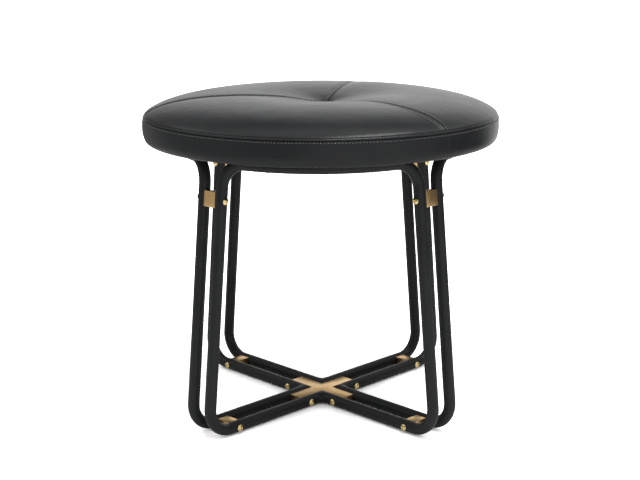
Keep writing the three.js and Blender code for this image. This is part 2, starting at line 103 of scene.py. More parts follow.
# Cushion, from the cloth under it up
DUST_COVER_THICKNESS = 0.6 * MM
LEATHER = 1.6 * MM
DUST_COVER_BOTTOM = SEAT_RAIL_HEIGHT + TUBE_RADIUS + FIT_GAP
HEM_BOTTOM = DUST_COVER_BOTTOM + DUST_COVER_THICKNESS + FIT_GAP
BOARD_BOTTOM = HEM_BOTTOM + LEATHER + FIT_GAP
BOARD_TOP = BOARD_BOTTOM + 15 * MM
HEM_INNER_RADIUS = SEAT_RAIL_RADIUS + TUBE_RADIUS + 8 * MM
DUST_COVER_RADIUS = HEM_INNER_RADIUS + 15 * MM
BOARD_RADIUS = SEAT_RAIL_RADIUS + 44 * MM
HEM_EDGE_RADIUS = BOARD_RADIUS + 3 * MM
CUSHION_RADIUS = BOARD_RADIUS + 11.5 * MM
WAIST = 19 * MM
BOXING_UNDERCUT = 6.5 * MM
BOXING_STEPS = 9
RIM_SEAM_RADIUS = CUSHION_RADIUS - 1.6 * MM
RIM_SEAM_HEIGHT = HEM_BOTTOM + 32.5 * MM
CROWN_RISE = 32.4 * MM
CROWN_FLATNESS = 4
CROWN_FULLNESS = 0.59
DIMPLE_DEPTH = 17.5 * MM
DIMPLE_REACH = 57 * MM
TUFT = Vector((7.4 * MM, 0, 0))
LIP_RADIUS = 244.5 * MM
LIP_PUFF = 0.5 * MM
LIP_WIDTH = 4 * MM
SEAM_ANGLES = [radians(degrees) for degrees in (-49.4, 74.2, 189.0)]

# Leather beside the crown's seams. A hollow, groove, dip or ridge is its depth or height, then its width.
PLEAT_REACH = 14 * MM
SEAM_HOLLOW = (0.7 * MM, 8 * MM)
SEAM_GROOVE = (2.3 * MM, 0.9 * MM)
FOLD_HEIGHT = 0.45 * MM
FOLD_START = 2 * MM
FOLD_WIDTH = 9 * MM
FOLD_EDGE = 4 * MM
PLAIN_RIDGE = (0.3 * MM, 1.6 * MM)
PLAIN_RIDGE_PLACE = 2.6 * MM

# Leather beside the boxing's short seams
BOXING_GROOVE = (0.5 * MM, 1.0 * MM)
BOXING_RIDGE = (0.2 * MM, 2.2 * MM)
BOXING_RIDGE_PLACE = 3 * MM
BOXING_FADE = 5 * MM

# Topstitching
STITCH_PITCH = 4.4 * MM
STITCH_SHARE = 0.72
STITCH_ROWS = (4.4 * MM, 8.3 * MM)
STITCH_DIP = (0.8 * MM, 0.6 * MM)
STITCHED_FROM = 16 * MM
STITCHED_TO = 236 * MM
THREAD_HALF_WIDTH = 0.5 * MM
THREAD_HALF_HEIGHT = 0.6 * MM

# The crown's leather as cloth: how far it starts under the plain crown, how far it may rise, and its settings
SWELL = 1.2 * MM
SWELL_LIMIT = 5 * MM
CLOTH_RADII = [radius * MM for radius in (8, 14, *range(20, 236, 7), 239, 243.5)]
CLOTH_COLUMNS = 32
CLOTH_PRESSURE = 4
CLOTH_BENDING = 8
CLOTH_AIR_DAMPING = 5
CLOTH_FRAMES = 20

# The photograph's camera, fitted to its tube edges, screws and plate corners. The lens and film are in mm.
CAMERA_PLACE = Vector((6.90, -1803.57, 675.98)) * MM
CAMERA_TARGET = Vector((-1.85, 0, 235.22)) * MM
CAMERA_ROLL = radians(-0.30)
CAMERA_LENS = 72.84
CAMERA_FILM = 36
CAMERA_SHIFT = 0.0017

# The studio as gloss reflects it: where each part's brightness starts and stops to change, then what it is
# before and after. A place is the cosine from the part's middle, or the direction's height or X.
BACKDROP_AIM = (0.3, 0.954, 0)
BACKDROP = (0.68, 0.97, 0.08, 1.0)
LEFT_WALL = (-0.2, -0.9, 0.0, 0.24)
FRONT_AIM = (0.47, -0.883, 0)
FRONT_WALL = (0.6, 0.98, 0.0, 0.72)
CEILING = (0.27, 0.52, 1.0, 0.46)
OVERHEAD = (0.7, 0.92, 0.0, 0.9)
PANEL_ASIDE = (0.38, 0.5, 0.0, 1.0)
PANEL_HEIGHT = (0.5, 0.62, 0.0, 1.0)
STUDIO_GLOW = 0.65

# The floor: metres from the stool over which gloss sees the backdrop in it, and how bright the eye sees it
PAPER_REACH = (0.7, 1.3, 0.0, 1.0)
PAPER_EXPOSURE = 3.1
FLOOR_RADIUS = 40


# Mesh helpers

def placed(name, bm):
    """A new object in the scene, with a bmesh's form."""
    mesh = bpy.data.meshes.new(name)
    bm.to_mesh(mesh)
    bm.free()
    made = bpy.data.objects.new(name, mesh)
    bpy.context.scene.collection.objects.link(made)
    return made


def discard(made):
    mesh = made.data
    bpy.data.objects.remove(made)
    bpy.data.meshes.remove(mesh)


def piece(name, bm, finish, stands_for=(), sharp=30):
    """Makes a bmesh a smooth-shaded piece of the stool, in its finish, standing for its nodes."""
    made = placed(name, bm)
    made.data.shade_smooth()
    made.data.set_sharp_from_angle(angle=radians(sharp))
    made.data.materials.append(finish)
    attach(made, "root")
    if stands_for:
        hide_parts(*stands_for)
    return made


def tidy_mesh(bm, weld=0.002 * MM):
    """Welds what lies this near together, and turns all faces outward."""
    bmesh.ops.remove_doubles(bm, verts=bm.verts, dist=weld)
    bmesh.ops.recalc_face_normals(bm, faces=bm.faces)
    return bm


def axes_at(centre, x, y, z):
    """A matrix that takes the origin to a centre and the axes to three directions from it."""
    return Matrix((
        (x.x, y.x, z.x, centre.x),
        (x.y, y.y, z.y, centre.y),
        (x.z, y.z, z.z, centre.z),
        (0, 0, 0, 1),
    ))


def copied(bm, matrix):
    """A copy of a bmesh, moved."""
    made = bm.copy()
    bmesh.ops.transform(made, matrix=matrix, verts=made.verts)
    return made


def soften_edges(bm, width, angle=35, steps=2):
    sharp = [edge for edge in bm.edges
             if edge.is_manifold and edge.calc_face_angle() > radians(angle)]
    bmesh.ops.bevel(bm, geom=sharp, offset=width, affect="EDGES", segments=steps, profile=0.5, material=-1,
                    clamp_overlap=True)
    return bm


def spun(points, steps):
    """A line of points of radius and height, spun once round Z."""
    bm = bmesh.new()
    verts = [bm.verts.new((radius, 0, height)) for radius, height in points]
    edges = [bm.edges.new(pair) for pair in zip(verts, verts[1:])]
    bmesh.ops.spin(bm, geom=verts + edges, cent=(0, 0, 0), axis=(0, 0, 1), angle=2 * pi, steps=steps,
                   use_merge=True)
    return bm


def turned(points, steps=32):
    """A solid turned about Z from a profile that runs from the axis round to the axis."""
    return tidy_mesh(spun(points, steps))


def rod(start, direction, radius, length, sides=24):
    """A plain cylinder from a point along a direction."""
    bm = bmesh.new()
    aim = Z_AXIS.rotation_difference(direction).to_matrix().to_4x4()
    place = Matrix.Translation(Vector(start) + Vector(direction) * length / 2) @ aim
    bmesh.ops.create_cone(bm, cap_ends=True, segments=sides, radius1=radius, radius2=radius, depth=length,
                          matrix=place)
    return bm


def joined(meshes):
    """Several bmeshes in one."""
    whole = bmesh.new()
    for bm in meshes:
        loose = bpy.data.meshes.new("loose")
        bm.to_mesh(loose)
        bm.free()
        whole.from_mesh(loose)
        bpy.data.meshes.remove(loose)
    return whole


def cut(bm, tools):
    """A bmesh with other closed bmeshes cut out of it."""
    body = placed("body", bm)
    tool = placed("tool", joined(tools))
    cutter = body.modifiers.new("cut", "BOOLEAN")
    cutter.operation = "DIFFERENCE"
    cutter.solver = "EXACT"
    cutter.object = tool
    result = bmesh.new()
    result.from_object(body, bpy.context.evaluated_depsgraph_get())
    discard(body)
    discard(tool)
    return result


# Material helpers

def hex_colour(code):
    """An sRGB hex value as linear red, green, blue and one."""
    channels = [int(code[place:place + 2], 16) / 255 for place in (1, 3, 5)]
    return [c / 12.92 if c <= 0.04045 else ((c + 0.055) / 1.055) ** 2.4 for c in channels] + [1]


def add(tree, kind, sockets=None, **settings):
    """Adds a node, with its settings, and sets or links its sockets."""
    node = tree.nodes.new("ShaderNode" + kind)
    for name, value in settings.items():
        setattr(node, name, value)
    for name, value in (sockets or {}).items():
        if isinstance(value, bpy.types.NodeSocket):
            tree.links.new(value, node.inputs[name])
        else:
            node.inputs[name].default_value = value
    return node


def new_finish(name):
    finish = bpy.data.materials.new(name)
    finish.use_nodes = True
    finish.node_tree.nodes.clear()
    return finish, finish.node_tree


def per(size):
    """A texture's scale for a pattern whose cells are a size across."""
    return 1 / size


def grain(tree, size, detail=2.0, roughness=0.5, stretch=(1, 1, 1)):
    """Noise in the piece's own coordinates, with spots of a size, stretched along the axes."""
    place = add(tree, "TexCoord").outputs["Object"]
    scaled = add(tree, "Mapping", {"Vector": place, "Scale": stretch}).outputs["Vector"]
    return add(tree, "TexNoise", {"Vector": scaled, "Scale": per(size), "Detail": detail,
                                  "Roughness": roughness}).outputs["Fac"]


def blend_colours(tree, share, low, high, start=0.3, stop=0.7):
    node = add(tree, "ValToRGB", {"Fac": share})
    for stop_point, place, colour in zip(node.color_ramp.elements, (start, stop), (low, high)):
        stop_point.position = place
        stop_point.color = hex_colour(colour)
    return node.outputs["Color"]


def ramp(tree, value, start, stop, low, high, curve="SMOOTHSTEP"):
    """Runs from low to high while a value runs from start to stop."""
    return add(tree, "MapRange", {"Value": value, "From Min": start, "From Max": stop, "To Min": low,
                                  "To Max": high}, interpolation_type=curve).outputs["Result"]


def spread(tree, share, low, high):
    """Runs from low to high over the middle of a noise, where nearly all of it lies."""
    return ramp(tree, share, 0.3, 0.7, low, high, "LINEAR")


def reckon(tree, operation, *values, **settings):
    """What an operation makes of its values."""
    return add(tree, "Math", dict(enumerate(values)), operation=operation, **settings).outputs["Value"]


def relief(tree, height, depth, below=None):
    """Bump of a real depth over an even pattern, on top of another bump."""
    sockets = {"Height": height, "Distance": depth}
    if below is not None:
        sockets["Normal"] = below
    return add(tree, "Bump", sockets).outputs["Normal"]


def shaded(finish, sockets):
    """A finish with its one shader."""
    shader = add(finish.node_tree, "BsdfPrincipled", sockets)
    add(finish.node_tree, "OutputMaterial", {"Surface": shader.outputs["BSDF"]})
    return finish


def powder_coated_steel():
    """Satin black powder coat on steel tube: a charcoal skin with the faint orange peel that baking leaves."""
    finish, tree = new_finish("powder_coated_steel")
    peel = grain(tree, 1.1 * MM, 1.0)
    cloud = grain(tree, 38 * MM)
    return shaded(finish, {
        "Base Color": blend_colours(tree, cloud, "#242526", "#2a2b2c"),
        "Roughness": spread(tree, cloud, 0.36, 0.42),
        "Specular IOR Level": 0.22,
        "Normal": relief(tree, peel, 0.012 * MM),
    })


def satin_brass():
    """Milled and satin-brushed brass: warm yellow metal with fine tool lines and a breath of tarnish."""
    finish, tree = new_finish("satin_brass")
    lines = grain(tree, 0.7 * MM, stretch=(0.12, 1, 1))
    cloud = grain(tree, 9 * MM, 3.0)
    return shaded(finish, {
        "Base Color": blend_colours(tree, cloud, "#ffcf8e", "#ffdba0"),
        "Metallic": 1.0,
        "Roughness": spread(tree, lines, 0.28, 0.33),
        "Normal": relief(tree, lines, 0.0008 * MM),
    })


def polished_brass():
    """Polished brass screw heads: bright, nearly smooth, a little darker where fingers and keys have been."""
    finish, tree = new_finish("polished_brass")
    cloud = grain(tree, 2.2 * MM, 3.0)
    return shaded(finish, {
        "Base Color": blend_colours(tree, cloud, "#ffe096", "#ffeeb6"),
        "Metallic": 1.0,
        "Roughness": spread(tree, cloud, 0.02, 0.04),
    })


def zinc_plated_steel():
    """Zinc-plated screw steel: pale blue-grey metal with a slightly mottled shine."""
    finish, tree = new_finish("zinc_plated_steel")
    cloud = grain(tree, 1.6 * MM, 3.0)
    return shaded(finish, {
        "Base Color": blend_colours(tree, cloud, "#9ea1a4", "#b9bcbe"),
        "Metallic": 1.0,
        "Roughness": spread(tree, cloud, 0.28, 0.42),
    })


def black_leather():
    """Finished cowhide: near-black, a soft sheen, pebbled by its pores. The pebbles are really about 0.8 mm
    and are drawn at 1.3 mm so that they show."""
    finish, tree = new_finish("black_leather")
    place = add(tree, "TexCoord").outputs["Object"]
    drift = add(tree, "TexNoise", {"Vector": place, "Scale": per(4 * MM), "Detail": 1.0}).outputs["Color"]
    pushed = add(tree, "VectorMath", {0: drift, "Scale": 0.7 * MM}, operation="SCALE").outputs["Vector"]
    moved = add(tree, "VectorMath", {0: place, 1: pushed}).outputs["Vector"]
    pebbles = add(tree, "TexVoronoi", {"Vector": moved, "Scale": per(1.3 * MM)},
                  feature="SMOOTH_F1").outputs["Distance"]
    pores = grain(tree, 0.45 * MM)
    slack = grain(tree, 34 * MM, 2.0, 0.45)
    hide = grain(tree, 60 * MM, 3.0)
    low = relief(tree, slack, 0.5 * MM)
    pebbled = relief(tree, pebbles, -0.025 * MM, low)
    return shaded(finish, {
        "Base Color": blend_colours(tree, hide, "#262729", "#2b2c2d"),
        "Roughness": spread(tree, hide, 0.24, 0.29),
        "Specular IOR Level": 0.19,
        "Normal": relief(tree, pores, 0.012 * MM, pebbled),
    })


def bonded_thread():
    """Black bonded nylon thread with twisted plies, coloured mid grey as a painted highlight for the light the
    stitches catch.
    """
    finish, tree = new_finish("bonded_thread")
    plies = grain(tree, 0.5 * MM)
    return shaded(finish, {
        # The grey base colour, lighter than the black thread, is a painted highlight that lifts the stitches
        "Base Color": blend_colours(tree, plies, "#4e4f50", "#6c6d6e"),
        "Roughness": 0.3,
        "Specular IOR Level": 1.0,
        "Normal": relief(tree, plies, 0.05 * MM),
    })


def bonded_dust_cloth():
    """Non-woven polypropylene dust cloth: dull black, pressed with small dots about 1.5 mm apart."""
    finish, tree = new_finish("bonded_dust_cloth")
    place = add(tree, "TexCoord").outputs["Object"]
    dots = add(tree, "TexVoronoi", {"Vector": place, "Scale": per(1.5 * MM),
                                    "Randomness": 0.15}).outputs["Distance"]
    fibres = grain(tree, 0.7 * MM, 3.0, 0.6)
    return shaded(finish, {
        "Base Color": blend_colours(tree, fibres, "#101011", "#1e1e1f"),
        "Roughness": 0.92,
        "Specular IOR Level": 0.2,
        "Normal": relief(tree, dots, 0.12 * MM),
    })


def moulded_nylon():
    """Injection-moulded nylon glides: dull black with a fine eroded texture, scuffed grey below."""
    finish, tree = new_finish("moulded_nylon")
    spark = grain(tree, 0.4 * MM)
    scuff = grain(tree, 3 * MM, 4.0, 0.7)
    return shaded(finish, {
        "Base Color": blend_colours(tree, scuff, "#161617", "#2a2a2a", 0.45, 0.8),
        "Roughness": 0.58,
        "Normal": relief(tree, spark, 0.02 * MM),
    })


def birch_plywood():
    """Birch plywood: pale face grain, and its plies as soft bands 8.8 mm apart around the edge."""
    finish, tree = new_finish("birch_plywood")
    place = add(tree, "TexCoord").outputs["Object"]
    wave = pi / 10  # how far apart this texture's bands are at a scale of one
    plies = add(tree, "TexWave", {"Vector": place, "Scale": per(8.8 * MM) * wave, "Distortion": 0.4},
                bands_direction="Z").outputs["Fac"]
    figure = grain(tree, 2.5 * MM, 4.0, 0.6, (0.06, 1.0, 1.0))
    share = reckon(tree, "MULTIPLY", plies, figure)
    return shaded(finish, {
        "Base Color": blend_colours(tree, share, "#a5804f", "#d0aa77", 0.1, 0.6),
        "Roughness": 0.72,
        "Normal": relief(tree, figure, 0.05 * MM),
    })


def waxed_twine():
    """Waxed flax twine: pale twisted strands about 0.8 mm across."""
    finish, tree = new_finish("waxed_twine")
    strands = grain(tree, 0.8 * MM, stretch=(1, 1, 0.4))
    return shaded(finish, {
        "Base Color": blend_colours(tree, strands, "#a89c7c", "#d8cfb6"),
        "Roughness": 0.75,
        "Normal": relief(tree, strands, 0.15 * MM),
    })


STEEL = powder_coated_steel()
BRASS = satin_brass()
BRIGHT_BRASS = polished_brass()
ZINC = zinc_plated_steel()
HIDE = black_leather()
THREAD = bonded_thread()
DUST_CLOTH = bonded_dust_cloth()
NYLON = moulded_nylon()
PLYWOOD = birch_plywood()
TWINE = waxed_twine()


# The tube's centreline in one leg's own frame: x runs out along the base's diagonal, y across it towards the
# middle of the loop, z up. The leg leans in towards the seat's axis as it rises.
LEG_UP = Vector((-sin(LEG_LEAN), 0, cos(LEG_LEAN)))


def top_bend(start):
    """The bend from a leg into the arc that starts at an angle: the arc's direction there, the bend's turn, and
    its lower end."""
    along = Vector((-sin(start), cos(start), 0))
    turn = LEG_UP.angle(along)
    end = Vector((SEAT_RAIL_RADIUS * cos(start), SEAT_RAIL_RADIUS * sin(start), SEAT_RAIL_HEIGHT))
    reach = BEND_RADIUS * tan(turn / 2)
    return along, turn, end - LEG_UP * reach - along * reach


def arc_start(rounds=12):
    """The seat arc's first angle, where the bend brings the leg to half the pair's spacing from the
    diagonal. Each round comes nearer."""
    start = (HALF_PAIR + BEND_RADIUS) / SEAT_RAIL_RADIUS
    for _ in range(rounds):
        start += (HALF_PAIR - top_bend(start)[2].y) / SEAT_RAIL_RADIUS
    return start


ARC_START = arc_start()
BEND_ALONG, BEND_TURN, LEG_TOP = top_bend(ARC_START)
FOOT_RADIUS = LEG_TOP.x + tan(LEG_LEAN) * (LEG_TOP.z - RAIL_HEIGHT)
FOOT_BEND_START = FOOT_RADIUS - BEND_RADIUS * tan(pi / 4 + LEG_LEAN / 2)
FOOT_BLOCK = Vector((FOOT_BEND_START - FOOT_BLOCK_SETBACK - FOOT_BLOCK_LENGTH / 2, 0, RAIL_HEIGHT))
LEG_BLOCK = LEG_TOP - LEG_UP * (LEG_BLOCK_SETBACK + LEG_BLOCK_LENGTH / 2)
LEG_BLOCK.y = 0
SCREW_PLACES = {"cross_plate": Vector((CROSS_SCREW, 0, RAIL_HEIGHT)), "foot_block": FOOT_BLOCK,
                "leg_block": LEG_BLOCK}


def leg_frame(quarter):
    """Turns a leg's own frame to its corner of the base."""
    return Matrix.Rotation(radians(45 + 90 * quarter), 4, "Z")


def station(centre, up, across):
    """A cross-section of the tube as a matrix: it takes the unit circle to the tube's outline."""
    return axes_at(centre, up, across, up.cross(across).normalized())


def turn_on(stations, pivot, axis, angle, steps):
    """Carries the last section round a bend."""
    start = stations[-1]
    for step in range(1, steps + 1):
        turn = Matrix.Rotation(angle * step / steps, 4, axis)
        stations.append(Matrix.Translation(pivot) @ turn @ Matrix.Translation(-pivot) @ start)


def half_loop_stations():
    """Sections from the mitred corner, along a rail, up a leg and to the arc's middle."""
    up = Z_AXIS * TUBE_RADIUS
    inner = HALF_PAIR - TUBE_RADIUS
    fillet_centre = HALF_PAIR + TUBE_RADIUS + CORNER_FILLET
    stations = []
    for step in range(FILLET_STEPS + 1):
        share = step / FILLET_STEPS
        angle = pi / 4 * (1 + share)
        open_side = Vector((fillet_centre - CORNER_FILLET * cos(angle),
                            fillet_centre - CORNER_FILLET * sin(angle), RAIL_HEIGHT))
        mitre = Vector((inner + share * (fillet_centre - inner), inner, RAIL_HEIGHT))
        stations.append(station((open_side + mitre) / 2, up, (open_side - mitre) / 2))
    foot = Vector((FOOT_BEND_START, HALF_PAIR, RAIL_HEIGHT))
    stations.append(station(foot, up, Y_AXIS * TUBE_RADIUS))
    turn_on(stations, foot + Z_AXIS * BEND_RADIUS, -Y_AXIS, pi / 2 + LEG_LEAN, BEND_STEPS)
    stations.append(Matrix.Translation(LEG_TOP - stations[-1].translation) @ stations[-1])
    axis = LEG_UP.cross(BEND_ALONG).normalized()
    turn_on(stations, LEG_TOP + axis.cross(LEG_UP) * BEND_RADIUS, axis, BEND_TURN, BEND_STEPS)
    turn_on(stations, Z_AXIS * SEAT_RAIL_HEIGHT, Z_AXIS, pi / 4 - ARC_START, ARC_STEPS)
    return stations


def loop_tube(sides=36, weld=0.005 * MM):
    """One closed loop, its middle out along x."""
    bm = bmesh.new()
    stations = half_loop_stations()
    bmesh.ops.create_circle(bm, segments=sides, radius=1, matrix=stations[0])
    edges = bm.edges[:]
    for before, after in zip(stations, stations[1:]):
        extruded = bmesh.ops.extrude_edge_only(bm, edges=edges)["geom"]
        verts = [part for part in extruded if isinstance(part, bmesh.types.BMVert)]
        edges = [part for part in extruded if isinstance(part, bmesh.types.BMEdge)
                 and part.verts[0] in verts and part.verts[1] in verts]
        bmesh.ops.transform(bm, matrix=after @ before.inverted(), verts=verts)
    bmesh.ops.rotate(bm, verts=bm.verts, cent=(0, 0, 0), matrix=Matrix.Rotation(-pi / 4, 3, "Z"))
    bmesh.ops.mirror(bm, geom=bm.verts[:] + bm.edges[:] + bm.faces[:], axis="Y", merge_dist=weld)
    return tidy_mesh(bm, weld)


def loop_holes():
    """Screw holes through the legs and rails, and pockets from below for the screws into the seat board."""
    holes = []
    over = 3 * MM
    for place in SCREW_PLACES.values():
        start = place + Y_AXIS * (HALF_PAIR - TUBE_RADIUS - over)
        hole = rod(start, Y_AXIS, SCREW_SHANK + FIT_GAP, 2 * (TUBE_RADIUS + over))
        for side in (1, -1):
            aside = Matrix.Diagonal((1, side, 1, 1)) @ Matrix.Rotation(-pi / 4, 4, "Z")
            holes.append(tidy_mesh(copied(hole, aside)))
        hole.free()
    for angle in (-SEAT_SCREW_SPREAD, SEAT_SCREW_SPREAD):
        below = Vector((SEAT_RAIL_RADIUS, 0, SEAT_RAIL_HEIGHT - TUBE_RADIUS - over))
        for radius, length in ((SEAT_SCREW_HEAD + FIT_GAP, over + SEAT_SCREW_POCKET),
                               (SEAT_SCREW_SHANK + FIT_GAP, 2 * (TUBE_RADIUS + over))):
            hole = rod(below, Z_AXIS, radius, length)
            bmesh.ops.rotate(hole, verts=hole.verts, cent=(0, 0, 0), matrix=Matrix.Rotation(angle, 3, "Z"))
            holes.append(hole)
    return holes


def steel_loops():
    drilled = loop_tube()
    for hole in loop_holes():
        drilled = cut(drilled, [hole])
    for quarter, side in enumerate(SIDES):
        turn = Matrix.Rotation(pi / 2 * quarter, 4, "Z")
        piece(f"steel_loop_{side}", copied(drilled, turn), STEEL, [f"tube_loop_{side}"])
    drilled.free()


def saddle_outline(bm, x, thickness):
    """The outline of a brass bar between two tubes, hollowed on both sides to their round, as one face."""
    half = thickness / 2
    hollow = TUBE_RADIUS + FIT_GAP
    low = asin((half - BLOCK_LEDGE) / hollow)
    top_half_width = HALF_PAIR - sqrt(hollow ** 2 - half ** 2) - BLOCK_LEDGE
    first = bm.verts.new((x, HALF_PAIR - hollow * cos(low), -hollow * sin(low)))
    bmesh.ops.spin(bm, geom=[first], cent=(x, HALF_PAIR, 0), axis=(1, 0, 0), angle=-2 * low, steps=SADDLE_STEPS)
    arc = sorted(bm.verts, key=lambda vert: vert.co.z)
    under = bm.verts.new((x, top_half_width, -half))
    over = bm.verts.new((x, top_half_width, half))
    bm.edges.new((under, arc[0]))
    bm.edges.new((over, arc[-1]))
    bmesh.ops.mirror(bm, geom=bm.verts[:] + bm.edges[:], axis="Y")
    near = 0.01 * MM
    for height in (-half, half):
        bm.edges.new([vert for vert in bm.verts if abs(vert.co.z - height) < near])
    return bmesh.ops.contextual_create(bm, geom=bm.edges[:])["faces"]


def saddle_bar(start, length, thickness):
    """A saddle-cut bar along x from a start, closed at both ends."""
    bm = bmesh.new()
    face = saddle_outline(bm, start, thickness)
    extruded = bmesh.ops.extrude_face_region(bm, geom=face)["geom"]
    far = [part for part in extruded if isinstance(part, bmesh.types.BMVert)]
    bmesh.ops.translate(bm, verts=far, vec=(length, 0, 0))
    return tidy_mesh(bm)


def cross_plate():
    """Four arms, each cut to a point at the middle by the diagonals and joined there."""
    behind = 2 * MM
    arm = saddle_bar(-behind, CROSS_ARM + behind, CROSS_PLATE_THICKNESS)
    for side in (-1, 1):
        bmesh.ops.bisect_plane(arm, geom=arm.verts[:] + arm.edges[:] + arm.faces[:], plane_co=(0, 0, 0),
                               plane_no=(1, side, 0), clear_inner=True)
    bm = joined([copied(arm, Matrix.Rotation(pi / 2 * quarter, 4, "Z")) for quarter in range(4)])
    arm.free()
    tidy_mesh(bm, weld=0.02 * MM)
    bmesh.ops.dissolve_limit(bm, angle_limit=radians(1), verts=bm.verts, edges=bm.edges)
    return bm


def screw_hole(place, turn=0.0):
    """A hole across a saddle-cut bar, turned about Z to the bar's own direction."""
    hole = rod((place, -HALF_PAIR, 0), Y_AXIS, SCREW_SHANK + FIT_GAP, 2 * HALF_PAIR)
    bmesh.ops.rotate(hole, verts=hole.verts, cent=(0, 0, 0), matrix=Matrix.Rotation(turn, 3, "Z"))
    return hole


def brass_block(length):
    return soften_edges(saddle_bar(-length / 2, length, BLOCK_THICKNESS), BLOCK_EDGE)


def brass_work():
    raised = Matrix.Translation((0, 0, RAIL_HEIGHT))
    holes = [screw_hole(CROSS_SCREW, pi / 2 * quarter) for quarter in range(4)]
    plate = cut(soften_edges(cross_plate(), BLOCK_EDGE), holes)
    bmesh.ops.transform(plate, matrix=raised @ leg_frame(0), verts=plate.verts)
    piece("brass_cross_plate", plate, BRASS, ["cross_plate"])
    stem_hole = rod((0, 0, -BLOCK_THICKNESS), Z_AXIS, GLIDE_STEM + FIT_GAP,
                    BLOCK_THICKNESS / 2 + GLIDE_STEM_LENGTH + FIT_GAP)
    foot = cut(brass_block(FOOT_BLOCK_LENGTH), [screw_hole(0), stem_hole])
    leg = cut(brass_block(LEG_BLOCK_LENGTH), [screw_hole(0)])
    lean = Matrix.Rotation(-(pi / 2 + LEG_LEAN), 4, "Y")
    blocks = (("foot_block", foot, Matrix.Translation(FOOT_BLOCK)),
              ("leg_block", leg, Matrix.Translation(LEG_BLOCK) @ lean))
    for quarter, corner in enumerate(CORNERS):
        for joint, block, place in blocks:
            name = f"{joint}_{corner}"
            piece(f"brass_{name}", copied(block, leg_frame(quarter) @ place), BRASS, [name])
    leg.free()
    foot.free()


def button_head_screw():
    """A button-head screw along z with a hexagonal socket, its head resting on z = 0."""
    length = SCREW_SEAT - SCREW_END_GAP
    rise = SCREW_HEAD_HEIGHT - SCREW_HEAD_RIM
    ball = (SCREW_HEAD ** 2 + rise ** 2) / (2 * rise)
    spread_angle = asin(SCREW_HEAD / ball)
    dome = []
    dome_steps = 12
    for step in range(dome_steps - 1):
        angle = spread_angle * (1 - step / dome_steps)
        dome.append((ball * sin(angle), SCREW_HEAD_HEIGHT - ball * (1 - cos(angle))))
    edge = 0.15 * MM
    body = turned([(0, -length), (SCREW_SHANK - edge, -length), (SCREW_SHANK, edge - length),
                   (SCREW_SHANK, 0), (SCREW_HEAD - edge, 0), (SCREW_HEAD, edge), *dome,
                   (0, SCREW_HEAD_HEIGHT)])
    bottom = (0, 0, SCREW_HEAD_HEIGHT - SCREW_SOCKET_DEPTH)
    return cut(body, [rod(bottom, Z_AXIS, SCREW_SOCKET, 2 * SCREW_SOCKET_DEPTH, sides=6)])


def tube_screws():
    """Two screws to each block or arm, one through each tube, each with its key at its own angle."""
    master = button_head_screw()
    count = 0
    for quarter, corner in enumerate(CORNERS):
        for joint, place in SCREW_PLACES.items():
            for which, side in enumerate((1, -1)):
                aim = Matrix.Rotation(-side * pi / 2, 4, "X")
                key = Matrix.Rotation(KEY_TURN * count, 4, "Z")
                seat = Matrix.Translation((place.x, side * SCREW_SEAT, place.z))
                name = f"{joint}_screw_{corner}_{which + 1}"
                screw = copied(master, leg_frame(quarter) @ seat @ aim @ key)
                piece(f"brass_{name}", screw, BRIGHT_BRASS, [name])
                count += 1
    master.free()


def board_screws():
    """Socket-head screws up into the board, sunk in the tube."""
    seat = SEAT_RAIL_HEIGHT - TUBE_RADIUS + SEAT_SCREW_POCKET - FIT_GAP
    under = seat - SEAT_SCREW_HEAD_HEIGHT
    tip = BOARD_BOTTOM + SEAT_SCREW_BITE
    edge = 0.4 * MM
    body = turned([(0, under), (SEAT_SCREW_HEAD - edge, under), (SEAT_SCREW_HEAD, under + edge),
                   (SEAT_SCREW_HEAD, seat), (SEAT_SCREW_SHANK, seat),
                   (SEAT_SCREW_SHANK, tip - SEAT_SCREW_POINT), (0, tip)])
    master = cut(body, [rod((0, 0, under - SEAT_SCREW_SOCKET_DEPTH), Z_AXIS, SEAT_SCREW_SOCKET,
                            2 * SEAT_SCREW_SOCKET_DEPTH, sides=6)])
    for place in range(8):
        quarter, side = divmod(place, 2)
        angle = pi / 2 * quarter + (2 * side - 1) * SEAT_SCREW_SPREAD
        turn = Matrix.Rotation(angle, 4, "Z") @ Matrix.Translation((SEAT_RAIL_RADIUS, 0, 0))
        name = f"seat_screw_{place + 1}"
        piece(f"zinc_{name}", copied(master, turn), ZINC, [name])
    master.free()


def nylon_glides():
    top = RAIL_HEIGHT - BLOCK_THICKNESS / 2 - FIT_GAP
    stem_top = top + GLIDE_STEM_LENGTH
    round_edge = []
    edge_steps = 4
    for step in range(edge_steps + 1):
        angle = pi / 2 * step / edge_steps
        round_edge.append((GLIDE_RADIUS - GLIDE_RIM * (1 - sin(angle)),
                           GLIDE_RIM * (1 - cos(angle))))
    master = turned([(0, 0), *round_edge, (GLIDE_RADIUS, top), (GLIDE_STEM, top), (GLIDE_STEM, stem_top),
                     (0, stem_top)])
    for quarter, corner in enumerate(CORNERS):
        place = leg_frame(quarter) @ Matrix.Translation((FOOT_BLOCK.x, 0, 0))
        piece(f"nylon_glide_{corner}", copied(master, place), NYLON, [f"glide_{corner}"])
    master.free()


